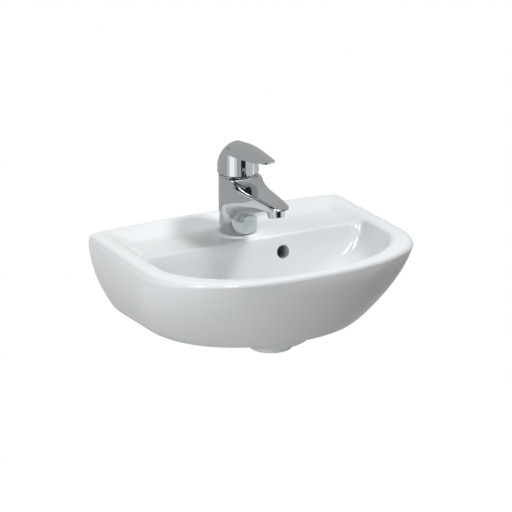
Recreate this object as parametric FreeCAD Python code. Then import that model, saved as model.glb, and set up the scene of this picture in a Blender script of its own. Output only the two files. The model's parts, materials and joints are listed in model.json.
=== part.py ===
import FreeCAD, Part
import functools
import math
import os

from FreeCAD import Vector

os.makedirs("parts", exist_ok=True)

# Hand basin with a single lever tap. Sizes are in millimetres.
# X runs across the basin, -Y comes out from the wall and Z is up.
# The origin is on the wall, midway between the two wall fixings.

# Outer shell of the china
basin_width = 400.0
basin_depth = 298.0
side_straight = 169.0
fold_width = 314.5
fold_depth = 246.9
fold_straight = 101.0
fold_drop = 121.7
dish_drop = 133.7
front_lift = 14.3
dish_radius = 46.0
side_curve_power = 1.93
front_curve_power = 1.61
plan_power = 2.3
fold_plan_power = 2.11
wall_shares = (0.07, 0.16, 0.28, 0.42, 0.56, 0.70, 0.82, 0.92)
dish_shares = ((0.04, 0.10), (0.11, 0.26), (0.22, 0.42))
side_steps = 10
front_steps = 18
rim_round = 8.0

# Back ledge, deck and tap hole
fixing_drop = 62.5
fixing_spacing = 280.0
fixing_radius = 7.0
back_crown = 3.5
ledge_width = 7.0
slope_foot = 43.0
deck_drop = 8.0
deck_thickness = 14.0
deck_half_width = 154.0
deck_lip = 22.0
pad_radius = 33.0
pad_rise = 1.0
pad_lip = 2.0
tap_setback = 65.0
tap_hole_radius = 17.5

# Bowl: each level gives the drop, half width, front reach, back reach and power of the back corners
bowl_half_width = 173.0
bowl_front_reach = 119.0
bowl_back_reach = 54.0
bowl_drop = 107.0
bowl_front_power = 2.1
bowl_back_power = 5.0
bowl_shares = (
    (0.00, 1.024, 1.032, 1.10, 1.30),
    (0.03, 1.000, 1.000, 1.06, 1.28),
    (0.07, 0.984, 0.976, 0.98, 1.25),
    (0.14, 0.968, 0.952, 0.93, 1.20),
    (0.30, 0.925, 0.900, 0.88, 1.10),
    (0.40, 0.875, 0.855, 0.85, 1.05),
    (0.50, 0.780, 0.800, 0.82, 1.00),
    (0.60, 0.665, 0.735, 0.79, 0.92),
    (0.70, 0.550, 0.650, 0.76, 0.85),
    (0.85, 0.380, 0.500, 0.71, 0.70),
    (0.95, 0.270, 0.370, 0.66, 0.52),
    (1.00, 0.210, 0.290, 0.60, 0.40),
)

# Waste, overflow and the open space behind the bowl
waste_setback = 161.0
waste_radius = 23.0
waste_seat_radius = 31.0
waste_seat_drop = 5.0
boss_radius = 30.0
boss_drop = 146.5
overflow_offset = 45.0
overflow_drop = 31.6
overflow_radius = 9.2
duct_radius = 7.0
duct_setback = 84.0
duct_wall = 6.0
drain_drop = 4.0
drain_radius = 5.0
back_plate = 12.0
shell_wall = 10.0
cavity_front = 98.0
cavity_front_low = 118.0
pipe_gap_width = 150.0
pipe_gap_drop = 76.0
pipe_gap_round = 22.0

# Tap body and spout; heights are above the tap pad
gasket_thickness = 1.0
gasket_radius = 23.2
gasket_bore = 19.5
base_radius = 26.4
body_radius = 27.0
body_top = 83.5
foot_round = 1.5
spout_reach = 117.0
spout_tip_radius = 14.2
spout_top = 72.0
spout_low = 61.0
blend_low = 20.0
spout_top_round = 4.0
shoulder_drop = 2.0
spout_top_shares = (
    (0.215, 1.00), (0.250, 0.66), (0.310, 0.34), (0.400, 0.13),
    (0.600, 0.02), (0.850, -0.08), (1.000, -0.20), (1.150, -0.55),
)
spout_low_shares = (
    (-0.24, 0.00), (-0.10, 0.24), (0.10, 0.61), (0.34, 0.83), (0.68, 0.95), (1.00, 1.00), (1.15, 1.01),
)
belly_inset = 0.6
belly_shares = (
    (0.10, 0.740, 0.12), (0.20, 0.800, 0.25), (0.28, 0.850, 0.39), (0.44, 0.910, 0.54),
    (0.60, 0.952, 0.67), (0.75, 0.977, 0.79), (0.90, 0.990, 0.90), (1.00, 1.000, 0.98),
)
waterway_radius = 3.8
waterway_height = 64.5
inlet_radius = 5.0
inlet_depth = 16.0
inlet_offset = 8.5
inlet_forward = 5.0
port_radius = 2.6

# Cartridge; the forward places are from the tap's axis
chamber_radius = 18.2
chamber_floor = 34.0
nut_bore = 20.5
flange_seat = 72.0
cartridge_radius = 16.2
cartridge_wall = 2.7
ceiling_thickness = 3.7
base_thickness = 5.0
disc_thickness = 3.5
disc_clearance = 0.3
carrier_height = 7.0
carrier_radius = 9.6
pocket_floor = 1.2
rotor_low = 54.0
neck_radius = 9.6
neck_top = 78.0
pivot_height = 69.0
pin_radius = 1.5
pin_length = 22.0
ball_drop = 18.0
ball_radius = 3.4
shank_radius = 2.8
stem_width = 7.0
stem_top = 112.0
tilt_degrees = 22.0
nut_height = 5.0
nut_inner = 12.0
nut_notch = 4.0
cap_radius = 24.4
cap_height = 5.5
cap_wall = 1.6
cap_mouth = 13.6
seal_radius = 4.4
seal_height = 1.6
outlet_radius = 3.0
outlet_back = 3.0
outlet_width = 8.0

# Lever handle
seam_gap = 2.0
skirt_radius = 28.6
skirt_wall = 1.8
dome_base = 95.0
dome_top = 128.6
dome_wall = 6.0
hood_reach = 90.0
hood_drop = 8.0
hood_shares = ((0.0, 1.75), (0.25, 2.4), (0.5, 2.3), (0.75, 2.2), (1.0, 2.2))
visor_reach = 73.5
visor_nose = 16.0
visor_side = 1.0
visor_root = 115.5
visor_tip = 118.6
boss_size = 9.0
boss_low = 95.0
screw_radius = 2.0
screw_length = 8.0
screw_side = 17.2
screw_forward = 5.5
screw_aim = 104.0
plug_length = 3.0

# Aerator and the fixing under the deck
aerator_reach = 112.0
aerator_low = 50.5
aerator_radius = 12.4
aerator_foot_radius = 10.8
aerator_neck_radius = 11.0
aerator_neck = 5.0
aerator_bore = 9.4
aerator_mouth = 8.0
aerator_lip = 1.6
aerator_tilt = -12.0
insert_height = 9.0
mesh_radius = 1.0
mesh_count = 8
mesh_ring_shares = (0.36, 0.72)
washer_thickness = 1.4
stud_radius = 4.0
stud_back = 11.0
stud_depth = 14.0
stud_hang = 44.0
horseshoe_radius = 22.0
hose_room = 1.5
horseshoe_back = 3.0
rubber_thickness = 3.0
plate_thickness = 2.0
fixing_nut_height = 10.0
fixing_nut_across = 13.0

# Fits
running_fit = 0.05
loose_fit = 0.3
overrun = 4.0

# Places that follow from the sizes
rim_z = fixing_drop
deck_z = rim_z - deck_drop
pad_z = deck_z + pad_rise
deck_under_z = deck_z - deck_thickness
disc_low = chamber_floor + base_thickness
disc_mid = disc_low + disc_thickness
carrier_low = disc_mid + disc_thickness
disc_radius = cartridge_radius - cartridge_wall - disc_clearance
ball_height = pivot_height - ball_drop
tilt = math.radians(tilt_degrees)
travel = ball_drop * math.sin(tilt)
skirt_bottom = body_top + seam_gap
skirt_bore = skirt_radius - skirt_wall
horseshoe_slot = 2 * (inlet_offset + inlet_radius + hose_room)


def cylinder(radius, low, high, side=0.0, forward=0.0):
    return Part.makeCylinder(radius, high - low, Vector(side, -forward, low))


def ring(outer, inner, low, high):
    return cylinder(outer, low, high).cut(cylinder(inner, low - overrun, high + overrun))


def block(width, back, front, low, high, side=0.0):
    """Box of a width about X = side, from Y = -back to Y = -front."""
    corner = Vector(side - width / 2, -front, low)
    return Part.makeBox(width, front - back, high - low, corner)


def line(start, end):
    return Part.LineSegment(start, end).toShape()


def spline(points, start=None, end=None):
    curve = Part.BSplineCurve()
    if start is None:
        curve.interpolate(Points=points)
    else:
        curve.interpolate(Points=points, InitialTangent=start, FinalTangent=end)
    return curve.toShape()


def prism(wire, direction):
    return Part.Face(wire).extrude(direction)


def revolve(points):
    """Solid of revolution about Z from an outline of (radius, height) points."""
    outline = Part.makePolygon([Vector(r, 0, h) for r, h in points + points[:1]])
    return Part.Face(outline).revolve(Vector(0, 0, 0), Vector(0, 0, 1), 360)


def side_prism(points, half_width):
    """Side outline of (forward, height) points, drawn across the part."""
    outline = Part.makePolygon([Vector(-half_width, -f, h) for f, h in points + points[:1]])
    return prism(outline, Vector(2 * half_width, 0, 0))


def superellipse(half_width, reach, power, steps):
    """Quarter outline from the side to the end of a rounded form."""
    points = []
    for step in range(steps + 1):
        angle = math.pi / 2 * step / steps
        points.append((half_width * math.cos(angle) ** (2 / power), reach * math.sin(angle) ** (2 / power)))
    return points


def section_points(half_width, straight, depth, z, power):
    """Straight sides and a rounded front, from the wall round to the wall."""
    length = straight + overrun
    right = [Vector(half_width, overrun - length * step / side_steps, z) for step in range(side_steps)]
    quarter = superellipse(half_width, depth - straight, power, front_steps)
    right += [Vector(x, -straight - y, z) for x, y in quarter]
    left = [Vector(-p.x, p.y, z) for p in reversed(right[:-1])]
    return right + left


def shell_half_width(share):
    return basin_width / 2 - (basin_width - fold_width) / 2 * share ** side_curve_power


def shell_depth(share):
    return basin_depth - (basin_depth - fold_depth) * share ** front_curve_power


def shell_straight(share):
    return side_straight - (side_straight - fold_straight) * share


def wall_z(share):
    """Height on the wall, from the foot of the rim's round to the fold."""
    return rim_z - rim_round - (fold_drop - rim_round) * share


def wall_share(z):
    return (rim_z - rim_round - z) / (fold_drop - rim_round)


def rim_levels():
    """Quarter round of the rim's outer edge: inset and drop."""
    steps = 3
    levels = []
    for step in range(steps + 1):
        angle = math.pi / 2 * step / steps
        levels.append((rim_round * (1 - math.sin(angle)), rim_round * (1 - math.cos(angle))))
    return levels


def lifted(row):
    """Raise a low row towards the front of the basin."""
    lift = front_lift * (rim_z - row[0].z) / fold_drop
    return [Vector(p.x, p.y, p.z - lift * p.y / basin_depth) for p in row]


def shell_rows():
    """Rows of points from the rim's top to the edge of the flat bottom."""
    rows = []
    for inset, drop in rim_levels():
        rows.append(section_points(basin_width / 2 - inset, side_straight, basin_depth - inset, rim_z - drop,
                                   plan_power))
    for share in wall_shares:
        power = plan_power + (fold_plan_power - plan_power) * share
        rows.append(section_points(shell_half_width(share), shell_straight(share), shell_depth(share), wall_z(share),
                                   power))
    for run, dip in dish_shares:
        half_width = fold_width / 2 + (dish_radius - fold_width / 2) * run
        straight = fold_straight + (waste_setback - fold_straight) * run
        depth = fold_depth + (waste_setback + dish_radius - fold_depth) * run
        z = rim_z - fold_drop - (dish_drop - fold_drop) * dip
        rows.append(section_points(half_width, straight, depth, z, fold_plan_power))
    return [lifted(row) for row in rows]


def on_level(edge, z):
    return all(abs(v.Z - z) < running_fit for v in edge.Vertexes)


def joins(edge, start, end):
    places = [v.Point for v in edge.Vertexes]
    return all(min(p.distanceToPoint(q) for p in places) < running_fit for q in (start, end))


def outer_shell():
    """Walls that curve in below the rim, over a flat bottom with a shallow dish."""
    rows = shell_rows()
    surface = Part.BSplineSurface()
    surface.interpolate(rows)
    skin = surface.toShape()
    first, last = rows[0], rows[-1]
    top_edge = [e for e in skin.Edges if joins(e, first[0], first[-1])]
    low_edge = [e for e in skin.Edges if joins(e, last[0], last[-1])]
    ends = [e for e in skin.Edges if joins(e, first[0], last[0]) or joins(e, first[-1], last[-1])]
    top_line = line(first[-1], first[0])
    low_line = line(last[-1], last[0])
    top = Part.Face(Part.Wire(top_edge + [top_line]))
    low = Part.Face(Part.Wire(low_edge + [low_line]))
    back = Part.Face(Part.Wire(Part.__sortEdges__(ends + [top_line, low_line])))
    shell = Part.makeSolid(Part.makeShell([skin, top, low, back]))
    if shell.Volume < 0:
        shell.reverse()
    dish_z = rim_z - dish_drop
    wide = dish_radius + (fold_width / 2 - dish_radius) * dish_shares[-1][0]
    high_z = last[0].z + front_lift
    dish = Part.makeCone(dish_radius, wide, high_z - dish_z, Vector(0, -waste_setback, dish_z))
    return shell.fuse(dish)


def behind_wall():
    room = basin_width
    return Part.makeBox(2 * room, room, 2 * room, Vector(-room, 0, -room))


def bowl_section(level, lift=0.0):
    drop, width, front, back, corner = level
    half_width = bowl_half_width * width
    ahead = superellipse(half_width, bowl_front_reach * front, bowl_front_power, 6)
    behind = superellipse(half_width, bowl_back_reach * back, bowl_back_power * corner, 6)
    quarter = [(x, -y) for x, y in ahead] + [(-x, -y) for x, y in reversed(ahead[:-1])]
    rest = [(-x, y) for x, y in behind[1:]] + [(x, y) for x, y in reversed(behind[1:-1])]
    z = rim_z - bowl_drop * drop + lift
    points = [Vector(x, y - waste_setback, z) for x, y in quarter + rest]
    curve = Part.BSplineCurve()
    curve.interpolate(Points=points, PeriodicFlag=True)
    return Part.Wire(curve.toShape())


def bowl_space():
    sections = [bowl_section(bowl_shares[0], overrun)]
    sections += [bowl_section(level) for level in bowl_shares]
    return Part.makeLoft(sections, True, False)


def rectangle(half_width, back, front, z):
    corners = [(-half_width, -back), (half_width, -back), (half_width, -front), (-half_width, -front)]
    return Part.makePolygon([Vector(x, y, z) for x, y in corners + corners[:1]])


def rear_space():
    """Open space between the bowl's back, the wall plate and the side walls."""
    top = wall_share(deck_under_z)
    end = wall_share(rim_z - dish_drop - overrun)
    steps = 4
    sections = []
    for step in range(steps + 1):
        share = top + (end - top) * step / steps
        front = cavity_front + (cavity_front_low - cavity_front) * (share - top) / (1 - top)
        sections.append(rectangle(shell_half_width(share) - shell_wall, back_plate, front, wall_z(share)))
    return Part.makeLoft(sections, True, False)


def overflow_rib(shell):
    """Solid rib on the bowl's back that carries the overflow duct."""
    reach = duct_radius + duct_wall
    rib = block(2 * reach, duct_setback - reach, cavity_front_low + overrun, rim_z - boss_drop,
                deck_under_z + overrun, overflow_offset)
    return rib.common(shell)


def overflow_way():
    hole_z = rim_z - overflow_drop
    foot_z = rim_z - bowl_drop - waste_seat_drop - drain_drop
    start = Vector(overflow_offset, -waste_setback, hole_z)
    hole = Part.makeCylinder(overflow_radius, waste_setback - duct_setback, start, Vector(0, 1, 0))
    pocket = cylinder(duct_radius, foot_z, hole_z, overflow_offset, duct_setback)
    run = Vector(0, -waste_setback, foot_z) - Vector(overflow_offset, -duct_setback, foot_z)
    drain = Part.makeCylinder(drain_radius, run.Length, Vector(overflow_offset, -duct_setback, foot_z), run)
    return hole.fuse([pocket, drain])


def back_ledge():
    """Slight rise of the back edge towards the middle."""
    half = basin_width / 2 - rim_round
    low = rim_z - deck_drop
    back = overrun
    ends = [Vector(-half, back, low), Vector(-half, back, rim_z), Vector(half, back, rim_z), Vector(half, back, low)]
    arc = Part.Arc(ends[1], Vector(0, back, rim_z + back_crown), ends[2]).toShape()
    outline = Part.Wire([line(ends[0], ends[1]), arc, line(ends[2], ends[3]), line(ends[3], ends[0])])
    return prism(outline, Vector(0, -slope_foot - overrun, 0))


def deck_space():
    """Sloped back, flat deck and the low walls beside it."""
    high = rim_z + back_crown + overrun
    rise = (high - deck_z) / (deck_drop + back_crown) * (slope_foot - ledge_width)
    outline = [(slope_foot - rise, high), (slope_foot, deck_z), (waste_setback, deck_z), (waste_setback, high)]
    space = side_prism(outline, deck_half_width + deck_lip)
    lean = deck_lip / deck_drop * (high - deck_z)
    slopes = [(-deck_half_width, deck_z), (deck_half_width, deck_z),
              (deck_half_width + lean, high), (-deck_half_width - lean, high)]
    walls = Part.makePolygon([Vector(x, 0, z) for x, z in slopes + slopes[:1]])
    return space.common(prism(walls, Vector(0, -basin_depth, 0)))


def pipe_gap():
    top = rim_z - pipe_gap_drop
    gap = block(pipe_gap_width, -overrun, back_plate + overrun, rim_z - boss_drop, top)
    corners = [e for e in gap.Edges if on_level(e, top) and abs(e.CenterOfMass.x) > pipe_gap_width / 4]
    return gap.makeFillet(pipe_gap_round, corners)


def basin_china():
    shell = outer_shell()
    china = shell.fuse(back_ledge())
    china = china.cut(deck_space())
    pad = Part.makeCone(pad_radius + pad_lip, pad_radius, pad_rise, Vector(0, -tap_setback, deck_z))
    china = china.fuse(pad)
    china = china.cut(rear_space())
    china = china.fuse(overflow_rib(shell))
    floor_z = rim_z - bowl_drop
    china = china.fuse(cylinder(boss_radius, rim_z - boss_drop, floor_z - waste_seat_drop, 0, waste_setback))
    seat = Part.makeCone(waste_radius, waste_seat_radius, waste_seat_drop,
                         Vector(0, -waste_setback, floor_z - waste_seat_drop))
    cuts = [bowl_space(), overflow_way(), seat, pipe_gap()]
    cuts.append(cylinder(waste_radius, rim_z - boss_drop - overrun, floor_z, 0, waste_setback))
    cuts.append(cylinder(tap_hole_radius, deck_under_z - overrun, pad_z + overrun, 0, tap_setback))
    for side in (-1, 1):
        place = Vector(side * fixing_spacing / 2, overrun, 0)
        cuts.append(Part.makeCylinder(fixing_radius, back_plate + 2 * overrun, place, Vector(0, -1, 0)))
    return china.cut(cuts).cut(behind_wall())


def teardrop(radius, tip_radius, reach, low, high):
    """Plan of a round body that narrows to a round tip."""
    angle = math.asin((radius - tip_radius) / reach)
    cos, sin = math.cos(angle), math.sin(angle)
    root = Vector(radius * cos, -radius * sin, low)
    tip = Vector(tip_radius * cos, -reach - tip_radius * sin, low)
    other_tip = Vector(-tip.x, tip.y, low)
    other_root = Vector(-root.x, root.y, low)
    nose = Part.Arc(tip, Vector(0, -reach - tip_radius, low), other_tip).toShape()
    back = Part.Arc(other_root, Vector(0, radius, low), root).toShape()
    outline = Part.Wire([line(root, tip), nose, line(other_tip, other_root), back])
    return prism(outline, Vector(0, 0, high - low))


def spout_outline():
    half = body_radius + overrun
    rise = body_top - spout_top
    high = [Vector(-half, -f * spout_reach, spout_top + h * rise) for f, h in spout_top_shares]
    span = spout_low - blend_low
    low = [Vector(-half, -f * spout_reach, blend_low + h * span) for f, h in spout_low_shares]
    back_top = Vector(-half, half, body_top)
    front_top = Vector(-half, high[0].y, body_top)
    back_low = Vector(-half, half, low[0].z)
    edges = [line(back_low, low[0]), spline(low), line(low[-1], high[-1]), spline(list(reversed(high))),
             line(front_top, back_top), line(back_top, back_low)]
    return prism(Part.Wire(edges), Vector(2 * half, 0, 0))


def spout_shoulders(upper):
    """Upper edges along the spout and round its tip."""
    root = running_fit - spout_top_shares[0][0] * spout_reach
    boxes = [(e, e.BoundBox) for e in upper.Edges]
    return [e for e, b in boxes if b.YMax < root and waterway_height < b.ZMin < body_top - running_fit]


def tap_casting():
    plan = teardrop(body_radius, spout_tip_radius, spout_reach, 0, body_top + overrun)
    upper = plan.common(spout_outline())
    upper = upper.makeFillet(spout_top_round, spout_shoulders(upper))
    upper = upper.cut(ring(spout_reach, body_radius, body_top - shoulder_drop, body_top + overrun))
    foot = cylinder(base_radius, gasket_thickness, spout_low)
    edge = [e for e in foot.Edges if on_level(e, gasket_thickness)]
    return upper.fuse(foot.makeFillet(foot_round, edge))


def belly_section(share, side_share, keel_share):
    """Round bottomed section under the spout, with its top inside the casting."""
    angle = math.asin((body_radius - spout_tip_radius) / spout_reach)
    forward = share * spout_reach
    half = (body_radius - forward * math.sin(angle)) / math.cos(angle) - belly_inset
    side = side_share * spout_low
    drop = side - keel_share * spout_low
    steps = 12
    turns = [math.pi * k / steps for k in range(1, steps)]
    points = [Vector(-half * math.cos(t), -forward, side - drop * math.sin(t)) for t in turns]
    points = [Vector(-half, -forward, side)] + points + [Vector(half, -forward, side)]
    bottom = spline(points, Vector(0, 0, -1), Vector(0, 0, 1))
    lift = Vector(0, 0, overrun)
    left, right = points[0] + lift, points[-1] + lift
    return Part.Wire([bottom, line(points[-1], right), line(right, left), line(left, points[0])])


def spout_belly():
    return Part.makeLoft([belly_section(*row) for row in belly_shares], True, False)


def aerator_turned(shape):
    shape.rotate(Vector(0, -aerator_reach, aerator_low), Vector(1, 0, 0), aerator_tilt)
    return shape


def tap_body():
    socket_low = aerator_low - overrun
    seat = cylinder(aerator_radius + spout_tip_radius, socket_low, neck_low(), 0, aerator_reach)
    body = tap_casting().cut(aerator_turned(seat)).fuse(spout_belly())
    cuts = [cylinder(chamber_radius, chamber_floor, body_top + overrun)]
    cuts.append(cylinder(nut_bore, flange_seat, body_top + overrun))
    start = Vector(0, 0, waterway_height)
    cuts.append(Part.makeCylinder(waterway_radius, aerator_reach, start, Vector(0, -1, 0)))
    socket_top = seat_top() + washer_thickness
    socket = cylinder(aerator_neck_radius + running_fit, socket_low, socket_top, 0, aerator_reach)
    trim = cylinder(aerator_radius + loose_fit, socket_low, neck_low(), 0, aerator_reach)
    cuts += [aerator_turned(socket), aerator_turned(trim)]
    for side in (-1, 1):
        place = side * inlet_offset
        cuts.append(cylinder(inlet_radius, 0, gasket_thickness + inlet_depth, place, inlet_forward))
        cuts.append(cylinder(port_radius, gasket_thickness, chamber_floor + overrun, place, inlet_forward))
    cuts.append(cylinder(stud_radius + running_fit, 0, gasket_thickness + stud_depth, 0, -stud_back))
    return body.cut(cuts)


def neck_low():
    """Height where the aerator's shoulder meets the spout."""
    return spout_low - aerator_lip / 2


def seat_top():
    return neck_low() + aerator_neck


def aerator_housing():
    outline = [(aerator_mouth, aerator_low), (aerator_foot_radius, aerator_low), (aerator_radius, neck_low()),
               (aerator_neck_radius, neck_low()), (aerator_neck_radius, seat_top()), (aerator_bore, seat_top()),
               (aerator_bore, aerator_low + aerator_lip), (aerator_mouth, aerator_low + aerator_lip)]
    housing = revolve(outline)
    housing.translate(Vector(0, -aerator_reach, 0))
    return aerator_turned(housing)


def aerator_insert():
    low = aerator_low + aerator_lip
    insert = cylinder(aerator_bore - running_fit, low, low + insert_height)
    holes = []
    for share in mesh_ring_shares:
        for step in range(mesh_count):
            angle = 2 * math.pi * step / mesh_count
            reach = aerator_bore * share
            holes.append(cylinder(mesh_radius, low - overrun, low + insert_height + overrun,
                                  reach * math.cos(angle), reach * math.sin(angle)))
    insert = insert.cut(holes)
    insert.translate(Vector(0, -aerator_reach, 0))
    return aerator_turned(insert)


def aerator_washer():
    washer = ring(aerator_neck_radius - running_fit, aerator_bore, seat_top(), seat_top() + washer_thickness)
    washer.translate(Vector(0, -aerator_reach, 0))
    return aerator_turned(washer)


def tap_base_gasket():
    gasket = ring(gasket_radius, gasket_bore, 0, gasket_thickness)
    return gasket


def port_places():
    return [(-inlet_offset, inlet_forward), (inlet_offset, inlet_forward)]


def cartridge_base():
    base = cylinder(cartridge_radius, chamber_floor, disc_low)
    cuts = [cylinder(outlet_radius, chamber_floor + seal_height, disc_low + overrun, 0, -outlet_back)]
    channel = block(outlet_width, -cartridge_radius - overrun, -outlet_back, chamber_floor + seal_height,
                    disc_low - seal_height)
    cuts.append(channel)
    for side, forward in port_places():
        cuts.append(cylinder(port_radius, chamber_floor - overrun, disc_low + overrun, side, forward))
        cuts.append(cylinder(seal_radius + running_fit, chamber_floor - overrun, chamber_floor + seal_height,
                             side, forward))
    return base.cut(cuts)


def cartridge_seals():
    seals = []
    for side, forward in port_places():
        seal = ring(seal_radius, port_radius, chamber_floor, chamber_floor + seal_height)
        seal.translate(Vector(side, -forward, 0))
        seals.append(seal)
    return Part.makeCompound(seals)


def fixed_disc():
    disc = cylinder(disc_radius, disc_low, disc_mid)
    cuts = [cylinder(outlet_radius, disc_low - overrun, disc_mid + overrun, 0, -outlet_back)]
    for side, forward in port_places():
        cuts.append(cylinder(port_radius, disc_low - overrun, disc_mid + overrun, side, forward))
    return disc.cut(cuts)


def moving_disc():
    back = travel / 2
    disc = cylinder(carrier_radius, disc_mid, carrier_low, 0, -back)
    recess = cylinder(carrier_radius / 2, disc_mid - overrun, disc_mid + disc_thickness / 2, 0, -back)
    return disc.cut(recess)


def disc_carrier():
    back = travel / 2
    carrier = cylinder(carrier_radius, carrier_low, carrier_low + carrier_height, 0, -back)
    half = ball_radius + loose_fit
    pocket = block(2 * half, -half, half, carrier_low + pocket_floor, carrier_low + carrier_height + overrun)
    return carrier.cut(pocket)


def cartridge_rotor():
    high = flange_seat - disc_clearance
    body = cylinder(disc_radius, rotor_low, high)
    rotor = body.fuse(cylinder(neck_radius, high, neck_top))
    swing = math.tan(tilt)
    half = stem_width / 2 / math.cos(tilt) + loose_fit
    low = rotor_low - overrun
    high_end = neck_top + overrun
    slot = [(-half, low), (half + swing * (pivot_height - low), low), (half, pivot_height), (half, high_end),
            (-half - swing * (high_end - pivot_height), high_end), (-half, pivot_height)]
    rotor = rotor.cut(side_prism(slot, stem_width / 2 + loose_fit))
    return rotor.cut(pivot_hole(running_fit))


def pivot_hole(room):
    start = Vector(-pin_length / 2, 0, pivot_height)
    return Part.makeCylinder(pin_radius + room, pin_length, start, Vector(1, 0, 0))


def stem_pivot_pin():
    return pivot_hole(0)


def cartridge_stem():
    ball = Part.makeSphere(ball_radius, Vector(0, 0, ball_height))
    shank = cylinder(shank_radius, ball_height, pivot_height)
    half = stem_width / 2
    bar = block(stem_width, -half, half, pivot_height - half, stem_top)
    return ball.fuse([shank, bar]).cut(pivot_hole(running_fit))


def cartridge_housing():
    inner = cartridge_radius - cartridge_wall
    wall = ring(cartridge_radius, inner, disc_low, flange_seat)
    ceiling = ring(nut_bore - loose_fit, neck_radius + loose_fit, flange_seat, flange_seat + ceiling_thickness)
    return wall.fuse(ceiling)


def cartridge_nut():
    low = flange_seat + ceiling_thickness
    nut = ring(nut_bore - running_fit, nut_inner, low, low + nut_height)
    notches = []
    for turn in range(2):
        notch = block(nut_notch, -nut_bore - overrun, nut_bore + overrun, low + nut_height / 2,
                      low + nut_height + overrun)
        notch.rotate(Vector(0, 0, 0), Vector(0, 0, 1), 90 * turn)
        notches.append(notch)
    return nut.cut(notches)


def cartridge_cap():
    high = body_top + cap_height
    bend = (cap_radius + cap_mouth) / 2
    outline = [(cap_radius - cap_wall, body_top), (cap_radius, body_top), (cap_radius, body_top + cap_wall),
               (bend, high), (cap_mouth, high), (cap_mouth, high - cap_wall), (bend - cap_wall, high - cap_wall)]
    return revolve(outline)


def quarter_arch(forward, half_width, low, crown, power):
    """Right half of an arch that stands across the part."""
    steps = 8
    outline = superellipse(half_width, crown - low, power, steps)
    return [Vector(x, -forward, low + rise) for x, rise in outline[:-1]] + [Vector(0, -forward, crown)]


def half_arch(forward, crown, power):
    """Right half of an arch, closed along the middle."""
    points = quarter_arch(forward, skirt_radius, dome_base, crown, power)
    arc = spline(points, Vector(0, 0, 1), Vector(-1, 0, 0))
    centre = Vector(0, -forward, dome_base)
    return Part.Wire([arc, line(points[-1], centre), line(centre, points[0])])


def dome_back():
    """Back half of the dome, turned about the tap's axis."""
    face = Part.Face(half_arch(0, dome_top, hood_shares[0][1]))
    return face.revolve(Vector(0, 0, 0), Vector(0, 0, 1), 180)


def hood():
    sections = []
    for share, power in hood_shares:
        crown = dome_top - hood_drop * share ** 2
        sections.append(half_arch(hood_reach * share, crown, power))
    right = Part.makeLoft(sections, True, False)
    arch = right.fuse(right.mirror(Vector(0, 0, 0), Vector(1, 0, 0)))
    slope = (visor_tip - visor_root) / hood_reach
    end = hood_reach + overrun
    under = [(-overrun, dome_base - overrun), (end, dome_base - overrun), (end, visor_root + slope * end),
             (-overrun, visor_root - slope * overrun)]
    space = side_prism(under, skirt_radius + overrun).cut(cylinder(skirt_radius, skirt_bottom, dome_top))
    plan = teardrop(skirt_radius + visor_side, visor_nose, visor_reach, skirt_bottom, dome_top + overrun)
    return arch.cut(space).common(plan)


def handle_outside():
    skirt = cylinder(skirt_radius, skirt_bottom, dome_base)
    return skirt.fuse([dome_back(), hood()]).removeSplitter()


def handle_space():
    """Hollow under the dome, with its own rounded ceiling."""
    bore = cylinder(skirt_bore, skirt_bottom - overrun, dome_base)
    points = quarter_arch(0, skirt_bore, dome_base, dome_top - dome_wall, hood_shares[0][1])
    arc = spline(points, Vector(0, 0, 1), Vector(-1, 0, 0))
    centre = Vector(0, 0, dome_base)
    face = Part.Face(Part.Wire([arc, line(points[-1], centre), line(centre, points[0])]))
    return bore.fuse(face.revolve(Vector(0, 0, 0), Vector(0, 0, 1), 360))


@functools.lru_cache
def screw_line():
    """Start on the dome's left side, and the way in to the stem."""
    foot = Vector(-screw_side, -screw_forward, dome_base)
    post = line(foot, foot + Vector(0, 0, dome_top))
    start = Vector(foot.x, foot.y, handle_outside().common(post).BoundBox.ZMax)
    aim = Vector(0, 0, screw_aim) - start
    aim.normalize()
    return start, aim


def screw_depth():
    """Distance along the screw's line from the dome to the stem's side."""
    start, aim = screw_line()
    return (screw_side - stem_width / 2 - screw_radius) / aim.x


def screw_bore(room, first, last):
    start, aim = screw_line()
    return Part.makeCylinder(screw_radius + room, last - first, start + aim * first, aim)


def lever_handle():
    handle = handle_outside().cut(handle_space())
    post = cylinder(boss_size, boss_low, dome_top - 3 * dome_wall / 4)
    width = stem_width + 2 * running_fit
    socket = block(width, -width / 2, width / 2, boss_low - overrun, stem_top)
    handle = handle.fuse(post)
    return handle.cut([socket, screw_bore(running_fit, -overrun, screw_depth())])


def lever_grub_screw():
    depth = screw_depth()
    screw = screw_bore(0, depth - screw_length, depth)
    return screw


def screw_plug():
    return screw_bore(0, -overrun, plug_length).common(handle_outside())


def fixing_stud():
    return cylinder(stud_radius, -stud_hang, gasket_thickness + stud_depth, 0, -stud_back)


def horseshoe(low, thickness):
    plate = cylinder(horseshoe_radius, low, low + thickness)
    slot = block(horseshoe_slot, -horseshoe_back, horseshoe_radius + overrun, low - overrun, low + thickness + overrun)
    hole = cylinder(stud_radius + loose_fit, low - overrun, low + thickness + overrun, 0, -stud_back)
    return plate.cut([slot, hole])


def fixing_washer():
    return horseshoe(deck_under_z - pad_z - rubber_thickness, rubber_thickness)


def fixing_plate():
    return horseshoe(deck_under_z - pad_z - rubber_thickness - plate_thickness, plate_thickness)


def fixing_nut():
    high = deck_under_z - pad_z - rubber_thickness - plate_thickness
    corner = fixing_nut_across / 2 / math.cos(math.pi / 6)
    points = [Vector(corner * math.cos(math.pi / 3 * k), corner * math.sin(math.pi / 3 * k) + stud_back,
                     high - fixing_nut_height) for k in range(7)]
    nut = prism(Part.makePolygon(points), Vector(0, 0, fixing_nut_height))
    thread = cylinder(stud_radius + running_fit, high - fixing_nut_height - overrun, high + overrun, 0, -stud_back)
    return nut.cut(thread)


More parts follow.
